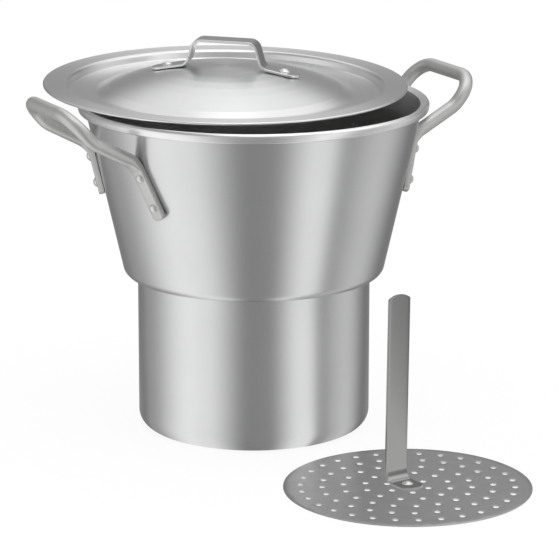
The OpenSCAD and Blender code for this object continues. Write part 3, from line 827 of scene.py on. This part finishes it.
def half_handle(pot, handle):
    """Rings from the right handle's rear lug to the middle of its grip.

    The path runs up the lug, round the elbow, along the leg, round its upward bend and round the corner. The
    section is a soft rectangle on the lug and turns into the rod's circle along the neck.
    """
    middle, out, up = lug_frame(pot, handle, "right", "rear")
    on_lug = middle + (handle.seat_gap + handle.lug_t / 2) * out
    elbow = middle + (handle.seat_gap + handle.rod_d / 2) * out + (handle.lug_rise + handle.neck) * up
    leg = np.array([math.cos(handle.leg_rise), 0.0, math.sin(handle.leg_rise)])
    outer = np.array([math.cos(handle.grip_rise), 0.0, math.sin(handle.grip_rise)])
    leg_end = elbow + handle.leg_len * leg
    corner = leg_end + handle.grip_len * outer
    grip = corner * np.array([1.0, 0.0, 1.0])
    corners = [on_lug - handle.lug_drop * up, on_lug + handle.lug_rise * up, elbow, leg_end, corner, grip]
    bends = [handle.neck_bend, handle.elbow_bend, handle.leg_bend, handle.corner_bend]
    path = rounded_path(corners, bends, BENT_SPACING)
    length = path_length(path)
    flat_end = handle.lug_drop + handle.lug_rise
    rod_like = smooth_step(length, flat_end - NECK_FADE, flat_end + handle.neck + NECK_FADE)
    half_width = handle.lug_w / 2 + (handle.rod_d - handle.lug_w) / 2 * rod_like
    half_width += quarter_round(length, handle.lug_corner) - handle.lug_corner
    half_depth = handle.lug_t / 2 + (handle.rod_d - handle.lug_t) / 2 * rod_like
    half_depth += quarter_round(length, LUG_EDGE) - LUG_EDGE
    power = LUG_POWER + (ROD_POWER - LUG_POWER) * rod_like
    across, deep = oval_sections(half_width, half_depth, power, ROD_STEPS)
    way = tangents(path)
    return carried(path, unit(out - (way @ out)[:, None] * way), across, deep), length


class STEAMER_OT_handles(bpy.types.Operator):
    """Bend the two rod handles, with their flattened lugs"""

    bl_idname = "steamer.handles"
    bl_label = "Handles"

    def execute(self, context):
        scene = context.scene
        finish = scene.steamer_finish
        satin = tumbled("handle_rod", finish.rod, finish.rod_rough, ROD_GRAIN)
        rear, length = half_handle(scene.steamer_pot, scene.steamer_handle)
        front = rear[-2::-1] * np.array([1.0, -1.0, 1.0])
        rings = np.concatenate([rear, front])
        along = np.concatenate([length, 2 * length[-1] - length[-2::-1]])
        shape = tube(rings, along, rings[0].mean(0), rings[-1].mean(0))
        piece("right_rod_handle", shape, "pot", ["right_handle"], [satin])
        piece("left_rod_handle", mirrored(shape, 0), "pot", ["left_handle"], [satin])
        return {"FINISHED"}


class STEAMER_OT_handle_rivets(bpy.types.Operator):
    """Hammer the rivets through the handles' lugs"""

    bl_idname = "steamer.handle_rivets"
    bl_label = "Handle rivets"

    def execute(self, context):
        scene = context.scene
        pot, handle, finish = scene.steamer_pot, scene.steamer_handle, scene.steamer_finish
        satin = tumbled("rivet_metal", finish.rivet, finish.rivet_rough, RIVET_GRAIN)
        round_r = cone_radius(pot, handle.lug_z) / math.cos(cone_lean(pot))
        aside = handle.rivet_pitch / 2 * math.sin(handle.lug_splay) + handle.rivet_tail_d / 2
        sag = round_r - math.sqrt(round_r**2 - aside**2)
        stack = handle.seat_gap + handle.lug_t + pot.wall + sag
        shape = rivet_shape(handle, stack, handle.rivet_tail_d, handle.rivet_tail_h)
        for side in SIDES:
            for lug in LUGS:
                middle, out, up = lug_frame(pot, handle, side, lug)
                for level in LEVELS:
                    reach = (0.5 if level == "upper" else -0.5) * handle.rivet_pitch
                    place = middle + (handle.seat_gap + handle.lug_t) * out + reach * up
                    node = f"{side}_handle_rivet_{lug}_{level}"
                    piece(f"{node}_head", moved(shape, frame_of(out), place), "pot", [node], [satin])
        return {"FINISHED"}


def lid_frame(lid):
    """How the lid lies: its turn, and the place of the middle of its flange's underside.

    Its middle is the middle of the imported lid, and its height lets the dome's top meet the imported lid's top.
    """
    matrix = turn_about(heading(lid.tilt_line), lid.tilt)
    ball = matrix @ ((lid.sheet + lid.dome_rise - lid.dome_r) * UP)
    return matrix, box_middle(LID_LOW, LID_HIGH, LID_HIGH.z - lid.dome_r - ball[2])


def dome_height(lid, radius):
    """Height of the dome's outside above the flange's underside, at a radius from the lid's middle."""
    return lid.sheet + lid.dome_rise - lid.dome_r + math.sqrt(lid.dome_r**2 - radius**2)


def lid_outline(pot, lid):
    """The lid's section: dome, run-out, gutter, sloping wall, flange and round edge."""
    half = lid.sheet / 2
    gutter = half - lid.gutter_depth
    ball = lid.dome_r - half
    top = lid.sheet + lid.dome_rise - half
    sweep = math.asin(lid.dome_edge_r / ball)
    edge_z = top - ball * (1 - math.cos(sweep))
    gutter_in = lid.dome_edge_r + (edge_z - gutter) / math.tan(sweep)
    gutter_top = pot.mouth_d / 2 - lid.play - half
    corners = [[0.0, top], [ball * math.tan(sweep / 2), top], [gutter_in, gutter]]
    corners += [[gutter_top - lid.gutter_draft, gutter], [gutter_top, half], [lid.radius - lid.edge_r, half]]
    mid = rounded_path(corners, [ball, lid.dome_bend, lid.gutter_bend, lid.gutter_bend], LID_SPACING)
    return sheet_outline(mid, lid.sheet, lid.edge_r)


class STEAMER_OT_lid(bpy.types.Operator):
    """Press the pan lid and lay it ajar on the rim"""

    bl_idname = "steamer.lid"
    bl_label = "Lid"

    def execute(self, context):
        scene = context.scene
        lid, finish = scene.steamer_lid, scene.steamer_finish
        outline = lid_outline(scene.steamer_pot, lid)
        shape = moved(revolved(outline, LID_STEPS), *lid_frame(lid))
        domed = brushed("lid_dome", finish.lid, finish.spun_rough, finish.dome_draw, LID_LINES)
        # The flange's lighter colour is a painted highlight; the dome keeps the sheet's own colour
        turned = brushed("lid_flange_painted_highlight", finish.flange, finish.spun_rough, finish.flange_draw, LID_LINES)
        made = piece("pan_lid", shape, "lid", ["lid"], [domed, turned])
        radius = outline[1:-1, 0]
        set_finishes(made, np.minimum(radius[:-1], radius[1:]) > lid.dome_edge_r, LID_STEPS, (0, 0))
        return {"FINISHED"}


def lid_foot(lid):
    """Where a strap foot lies, in the strap's upright plane: its place on the dome and the way out."""
    reach = lid.rivet_gap / 2
    slope = math.asin(reach / lid.dome_r)
    return np.array([reach, dome_height(lid, reach)]), np.array([math.sin(slope), math.cos(slope)])


class STEAMER_OT_lid_handle(bpy.types.Operator):
    """Bend the lid's strap handle and rivet it to the dome"""

    bl_idname = "steamer.lid_handle"
    bl_label = "Lid handle"

    def execute(self, context):
        scene = context.scene
        lid, finish = scene.steamer_lid, scene.steamer_finish
        matrix, place = lid_frame(lid)
        on_dome, out = lid_foot(lid)
        outward = np.array([out[1], -out[0]])
        foot = on_dome + (lid.seat_gap + lid.strap_t / 2) * out
        heel = foot - (on_dome[0] - lid.foot_gap / 2) / out[1] * outward
        top = dome_height(lid, 0.0) + lid.clear + lid.strap_t / 2
        half = [foot + lid.toe * outward, heel, np.array([lid.top_gap / 2, top])]
        corners = half + [point * np.array([-1.0, 1.0]) for point in half[::-1]]
        flat = rounded_path(corners, [lid.strap_bend] * 4, BENT_SPACING)
        along = heading(lid.strap_turn)
        crown = lid.strap_w / 2
        path = dense_ends(flat[:, :1] * along + flat[:, 1:] * UP, crown)
        shape = strap_turned(path, np.cross(UP, along), lid.strap_w, lid.strap_t, (crown, crown))
        polished = brushed("lid_strap", finish.strap, finish.strap_rough, finish.strap_draw, GRAB_LINES)
        piece("strap_handle", moved(shape, matrix, place), "lid", ["lid_handle"], [polished])
        satin = bpy.data.materials["rivet_metal"]
        stack = lid.seat_gap + lid.strap_t + lid.sheet
        rivet = rivet_shape(lid, stack, lid.rivet_tail_d, lid.rivet_tail_h)
        seat = on_dome + (lid.seat_gap + lid.strap_t) * out
        for hand, side in ((1, "right"), (-1, "left")):
            plane = np.array([hand * along, UP])
            shape = moved(moved(rivet, frame_of(out @ plane), seat @ plane), matrix, place)
            piece(f"lid_rivet_{side}_head", shape, "lid", [f"lid_rivet_{side}"], [satin])
        return {"FINISHED"}


def strap_turned(path, sideways, width, sheet, crowns):
    """A strap whose width lies along one fixed direction, as when it is bent over straight edges.

    crowns holds the radii to which its two ends are rounded.
    """
    length = path_length(path)
    back = length[-1] - length
    soft = sheet * SOFT_EDGE
    half = np.minimum(quarter_round(length, crowns[0]), quarter_round(back, crowns[1]))
    half = np.clip(half, soft, width / 2)
    depth = sheet / 2 - soft + quarter_round(np.minimum(length, back), soft)
    across, deep = oval_sections(half, depth, np.full(len(path), STRAP_POWER), STRAP_STEPS)
    rings = carried(path, np.cross(tangents(path), sideways), across, deep)
    return tube(rings, length, path[0], path[-1])


def hole_middles(strainer):
    """Middles of the steam holes: ring n has 6 n holes, n pitches from the middle, and turns n steps."""
    rings = np.arange(1, strainer.ring_count + 1)
    ring = np.repeat(rings, RING_HOLES * rings)
    number = np.arange(len(ring)) - RING_HOLES * ring * (ring - 1) // 2 + 1
    step = np.radians(360.0 / RING_HOLES)
    angle = ring * strainer.ring_turn + step * number / ring + strainer.strap_turn
    return ring[:, None] * strainer.ring_pitch * np.stack([np.cos(angle), np.sin(angle)], axis=1)


def plate_shape(strainer):
    """The perforated plate: a flat face with round holes above and below, joined by the rim and holes' walls.

    Both faces share one triangulation. A loop of points runs round the rim and round each hole, and each loop
    is carried down through the sheet: a drawn-in upper edge, the wall, and a small lower edge.
    """
    hole_r, sheet, edge = strainer.hole_d / 2, strainer.sheet, strainer.hole_edge
    middles = hole_middles(strainer)
    ring = round_loop(HOLE_STEPS)
    rim = round_loop(RIM_STEPS)
    soft = sheet * SOFT_EDGE
    spread = np.arange(-FREE_ROWS, FREE_ROWS + 1) * FREE_PITCH
    free = np.stack(np.meshgrid(spread, spread), axis=-1).reshape(-1, 2)
    gap = np.linalg.norm(free[:, None] - middles[None], axis=2).min(1)
    free = free[(gap > hole_r + HOLE_MARGIN) & (np.linalg.norm(free, axis=1) < strainer.radius - RIM_MARGIN)]

    def loops_at(rim_in, hole_out):
        """The loops with the rim drawn in and the holes widened."""
        holes = middles[:, None] + (hole_r + hole_out) * ring
        return np.concatenate([(strainer.radius - rim_in) * rim, holes.reshape(-1, 2)])

    def raised(flat, height):
        """Flat points at a height."""
        return np.pad(flat, ((0, 0), (0, 1)), constant_values=height)

    loops = loops_at(soft, edge)
    column = np.arange(len(loops))
    inside = [column[:RIM_STEPS], *column[RIM_STEPS:].reshape(-1, HOLE_STEPS)]
    flat = np.concatenate([loops, free])
    points, _, faces, sources, _, _ = delaunay_2d_cdt(
        [Vector(point) for point in flat], [], [loop.tolist() for loop in inside], INSIDE_WITH_HOLES, MERGE
    )
    order = np.empty(len(flat), int)
    order[[source[0] for source in sources]] = np.arange(len(points))
    flat = np.array([tuple(point) for point in points])
    faces = np.array([face if cross_sign(flat, face) > 0 else face[::-1] for face in faces])

    # Part of the way round the upper edge, both ends of the wall, and part of the way round the lower edge
    levels = [raised(loops_at(soft * PART_WAY, edge * UPPER_DRAW), sheet - soft * PART_WAY),
              raised(loops_at(0.0, 0.0), sheet - soft), raised(loops_at(0.0, 0.0), soft),
              raised(loops_at(soft * PART_WAY, edge * LOWER_DRAW), soft * PART_WAY)]
    after = np.concatenate([np.roll(loop, -1) for loop in inside])
    stack = [order[column]] + [len(flat) * 2 + k * len(loops) + column for k in range(len(levels))]
    stack.append(order[column] + len(flat))
    walls = []
    for upper, lower in zip(stack, stack[1:]):
        quads = np.stack([upper, lower, lower[after], upper[after]], axis=1)
        quads[RIM_STEPS:] = quads[RIM_STEPS:, ::-1]
        walls.append(quads)
    points = np.concatenate([raised(flat, sheet), raised(flat, 0.0)] + levels)
    waves = [np.sin(rate * points[:, k] + shift) for k, (rate, shift) in enumerate(WARP_WAVES)]
    swell = 0.5 + 0.5 * waves[0] * waves[1]
    points[:, 2] += strainer.warp * swell * smooth_step(np.linalg.norm(points[:, :2], axis=1), *WARP_FADE)
    every = faces.tolist() + (faces[:, ::-1] + len(flat)).tolist() + np.concatenate(walls).tolist()
    return points, every, points[np.concatenate(every)][:, :2]


def cross_sign(flat, face):
    """Positive where a triangle's corners run anticlockwise."""
    a, b, c = flat[list(face)]
    return (b[0] - a[0]) * (c[1] - a[1]) - (b[1] - a[1]) * (c[0] - a[0])


class STEAMER_OT_strainer(bpy.types.Operator):
    """Punch the strainer plate and rivet its lifting strap to it"""

    bl_idname = "steamer.strainer"
    bl_label = "Strainer"

    def execute(self, context):
        scene = context.scene
        strainer, finish = scene.steamer_strainer, scene.steamer_finish
        middle = box_middle(PLATE_LOW, PLATE_HIGH, 0.0)
        mill = tumbled("mill_sheet", finish.mill, finish.mill_rough, SHEET_GRAIN)
        # The near-white cut finish is partly fresh metal and partly painted light for the holes
        cut = tumbled("cut_edge_painted_light", finish.cut, finish.cut_rough, CUT_GRAIN)
        shape = moved(plate_shape(strainer), np.eye(3), middle)
        plate = piece("perforated_plate", shape, "strainer", ["strainer_plate"],
                      [mill, cut])
        sides = np.zeros(len(plate.data.polygons), np.int32)
        plate.data.polygons.foreach_get("loop_total", sides)
        centres = np.zeros((len(sides), 3), np.float32)
        plate.data.polygons.foreach_get("center", centres.ravel())
        # Hole walls and drawn edges take the cut finish, with its painted light
        inner = np.linalg.norm(centres[:, :2] - middle[:2], axis=1) < strainer.radius - strainer.hole_edge
        plate.data.polygons.foreach_set("material_index", ((sides == 4) & inner).astype(np.int32))
        along = heading(strainer.strap_turn)
        sideways = np.cross(UP, along)
        foot = strainer.sheet + strainer.strap_t / 2
        back = -strainer.strap_back
        corners = [[strainer.strap_toe, foot], [back, foot], [back, strainer.strap_h]]
        flat = rounded_path(corners, [strainer.strap_bend], UPRIGHT_SPACING)
        lean_z = strainer.sheet + strainer.strap_t + strainer.strap_bend
        lean = np.clip(flat[:, 1:] - lean_z, 0.0, None) * math.tan(strainer.strap_lean)
        path = middle + flat[:, :1] * along + flat[:, 1:] * UP + lean * sideways
        path = dense_ends(path, strainer.toe_crown)
        crowns = (strainer.toe_crown, strainer.crown)
        shape = strap_turned(path, sideways, strainer.strap_w, strainer.strap_t, crowns)
        # The strap's dark colour is partly its own tone and partly painted shade
        rolled = brushed("strap_sheet_painted_shade", finish.lifter_tone_and_shade, finish.lifter_rough, finish.strap_draw, LIFTER_LINES)
        upright = piece("lifting_strap_sheet", shape, "strainer", ["lifting_strap"],
                        [rolled])
        satin = bpy.data.materials["rivet_metal"]
        sunk = strainer.sheet * SUNK
        rivet = rivet_shape(strainer, strainer.strap_t + strainer.sheet - sunk, strainer.sink_d, sunk)
        shape = moved(rivet, np.eye(3), middle + (strainer.sheet + strainer.strap_t) * UP)
        head = piece("strap_rivet_head", shape, "strainer", ["strap_rivet"], [satin])
        for made in (plate, upright, head):
            made.visible_glossy = False
        return {"FINISHED"}


def band_ramp(tree, place, turned, bands):
    """A ramp over the direction from the pot's axis, with the given (degrees, brightness) stops."""
    ramp = add_node(tree, "ShaderNodeValToRGB", place)
    ramp.color_ramp.interpolation = "EASE"
    stops = ramp.color_ramp.elements
    tree.links.new(turned, ramp.inputs["Fac"])
    for degrees, level in bands:
        position = (degrees + 180) / 360
        if degrees == -180:
            stop = stops[0]
        elif degrees == 180:
            stop = stops[-1]
        else:
            stop = stops.new(position)
        stop.position = position
        stop.color = (level, level, level, 1.0)
    return ramp


def tent_material(stage):
    """Cloth of the light tent: panels and flags by direction below, and soft boxes above.

    On the floor the direction is the one that a round wall reflects: the angle from the pot's axis, times 2 r
    over 2 r less the wall's radius at the distance r. So the bands stand upright on the chamber.
    """
    material = bpy.data.materials.new("tent_cloth")
    material.use_nodes = True
    tree = material.node_tree
    tree.nodes.clear()
    place = add_node(tree, "ShaderNodeTexCoord", (-1200, 0))
    facing = (0.0, 0.0, math.pi / 2 - stage.view_turn)
    lay = add_node(tree, "ShaderNodeMapping", (-1000, 0), vector_type="POINT", Rotation=facing)
    parts = add_node(tree, "ShaderNodeSeparateXYZ", (-800, 0))
    flat = add_node(tree, "ShaderNodeCombineXYZ", (-600, 300))
    reach = add_node(tree, "ShaderNodeVectorMath", (-400, 300), operation="LENGTH")
    spread = add_node(tree, "ShaderNodeMapRange", (-400, 0), **{"From Min": -math.pi, "From Max": math.pi})
    above = add_node(tree, "ShaderNodeMapRange", (-400, -300), interpolation_type="SMOOTHSTEP",
                     **{"From Min": stage.wall_low, "From Max": stage.wall_high})
    mix = add_node(tree, "ShaderNodeMix", (200, 0), data_type="RGBA")
    light = add_node(tree, "ShaderNodeEmission", (400, 0))
    output = add_node(tree, "ShaderNodeOutputMaterial", (600, 0))
    lower = band_ramp(tree, (-200, 0), spread.outputs["Result"], TENT_BANDS)
    upper = band_ramp(tree, (-200, -300), spread.outputs["Result"], UPPER_BANDS)
    link(place, "Object", lay, "Vector")
    link(lay, "Vector", parts, "Vector")
    link(parts, "X", flat, "X")
    link(parts, "Y", flat, "Y")
    link(flat, "Vector", reach, 0)
    angle = worked(tree, (-600, 0), "ARCTAN2", parts.outputs["Y"], parts.outputs["X"])
    twice = worked(tree, (-200, 300), "MULTIPLY", reach.outputs["Value"], 2.0)
    past = worked(tree, (0, 300), "SUBTRACT", twice, stage.round_r)
    ratio = worked(tree, (200, 300), "DIVIDE", twice, past)
    tree.links.new(worked(tree, (400, 300), "MULTIPLY", angle, ratio), spread.inputs["Value"])
    link(parts, "Z", above, "Value")
    link(above, "Result", mix, MIX_FACTOR)
    link(lower, "Color", mix, MIX_FIRST)
    link(upper, "Color", mix, MIX_SECOND)
    link(mix, MIX_RESULT, light, "Color")
    link(light, "Emission", output, "Surface")
    return material


def floor_material(colour, glow):
    """Plain pale floor that keeps a faint shadow: part of what the camera and the metal see is even white."""
    material = bpy.data.materials.new("studio_floor")
    material.use_nodes = True
    tree = material.node_tree
    shader = tree.nodes["Principled BSDF"]
    shader.inputs["Base Color"].default_value = (*colour, 1.0)
    shader.inputs["Roughness"].default_value = FLOOR_ROUGH
    shader.inputs["Specular IOR Level"].default_value = FLOOR_SHINE
    rays = add_node(tree, "ShaderNodeLightPath", (-600, 300)).outputs
    white = add_node(tree, "ShaderNodeEmission", (0, -300))
    mix = add_node(tree, "ShaderNodeMixShader", (300, 100))
    seen = worked(tree, (-400, 300), "MAXIMUM", rays["Is Camera Ray"], rays["Is Glossy Ray"])
    either = worked(tree, (-200, 300), "MAXIMUM", seen, rays["Is Transmission Ray"])
    tree.links.new(worked(tree, (0, 300), "MULTIPLY", either, glow), mix.inputs[0])
    link(shader, "BSDF", mix, 1)
    link(white, "Emission", mix, 2)
    link(mix, "Shader", tree.nodes["Material Output"], "Surface")
    return material


class STEAMER_OT_stage(bpy.types.Operator):
    """Set up the floor, the light tent, the lamp and the camera"""

    bl_idname = "steamer.stage"
    bl_label = "Stage"

    def execute(self, context):
        scene = context.scene
        stage = scene.steamer_stage
        square = np.array([[-1, -1, 0], [1, -1, 0], [1, 1, 0], [-1, 1, 0]]) * stage.floor_size / 2
        pale = floor_material(stage.floor, stage.floor_glow)
        floor = add_mesh("floor", square, [(0, 1, 2, 3)], [pale])

        ring = np.pad(round_loop(TENT_STEPS), ((0, 0), (0, 1)))
        heights = np.array([stage.mat_lift, stage.mat_lift, stage.tent_h, stage.tent_h])
        radii = np.array([stage.mat_r, stage.tent_r, stage.tent_r, stage.vent_r])
        rings = ring[None] * radii[:, None, None] + heights[:, None, None] * UP
        quads = grid_quads(len(radii), TENT_STEPS)[0].tolist()
        tent = add_mesh("light_tent", rings.reshape(-1, 3), quads, [tent_material(stage)])
        tent.visible_camera = False
        tent.visible_diffuse = False
        tent.visible_shadow = False
        tent.visible_transmission = False

        lamp_data = bpy.data.lights.new("overhead_lamp", "AREA")
        lamp_data.shape = "DISK"
        lamp_data.size = stage.lamp_size
        lamp_data.energy = stage.lamp_power
        lamp = set_up("overhead_lamp", lamp_data)
        lamp.location = stage.lamp_place
        lamp.rotation_euler = (-lamp.location).to_track_quat("-Z", "Y").to_euler()

        world = bpy.data.worlds.new("studio")
        world.use_nodes = True
        background = world.node_tree.nodes["Background"]
        background.inputs["Color"].default_value = (1.0, 1.0, 1.0, 1.0)
        background.inputs["Strength"].default_value = 1.0
        scene.world = world

        camera_data = bpy.data.cameras.new("camera")
        camera_data.lens = stage.lens
        camera_data.sensor_width = SENSOR
        camera = set_up("camera", camera_data)
        camera.location = stage.view_place
        camera.rotation_euler = (math.pi / 2 - stage.view_drop, 0.0, stage.view_turn)
        scene.camera = camera
        scene.view_settings.view_transform = "Standard"
        return {"FINISHED"}


class STEAMER_PT_panel(bpy.types.Panel):
    """Steps that build the steamer, in order"""

    bl_idname = "STEAMER_PT_panel"
    bl_label = "Couscous steamer"
    bl_space_type = "VIEW_3D"
    bl_region_type = "UI"
    bl_category = "Steamer"

    def draw(self, context):
        for step in STEPS:
            self.layout.operator(step.bl_idname)


STEPS = (
    STEAMER_OT_pot, STEAMER_OT_handles, STEAMER_OT_handle_rivets, STEAMER_OT_lid, STEAMER_OT_lid_handle,
    STEAMER_OT_strainer, STEAMER_OT_stage,
)


def register():
    """Registers the settings, the steps and the panel."""
    for name, group in GROUPS.items():
        bpy.utils.register_class(group)
        setattr(bpy.types.Scene, name, bpy.props.PointerProperty(type=group))
    for step in STEPS:
        bpy.utils.register_class(step)
    bpy.utils.register_class(STEAMER_PT_panel)


def unregister():
    """Takes out what register put in, in the opposite order."""
    bpy.utils.unregister_class(STEAMER_PT_panel)
    for step in reversed(STEPS):
        bpy.utils.unregister_class(step)
    for name, group in reversed(GROUPS.items()):
        delattr(bpy.types.Scene, name)
        bpy.utils.unregister_class(group)


def main():
    register()
    bpy.ops.steamer.pot()
    bpy.ops.steamer.handles()
    bpy.ops.steamer.handle_rivets()
    bpy.ops.steamer.lid()
    bpy.ops.steamer.lid_handle()
    bpy.ops.steamer.strainer()
    bpy.ops.steamer.stage()


if __name__ == "__main__":
    main()
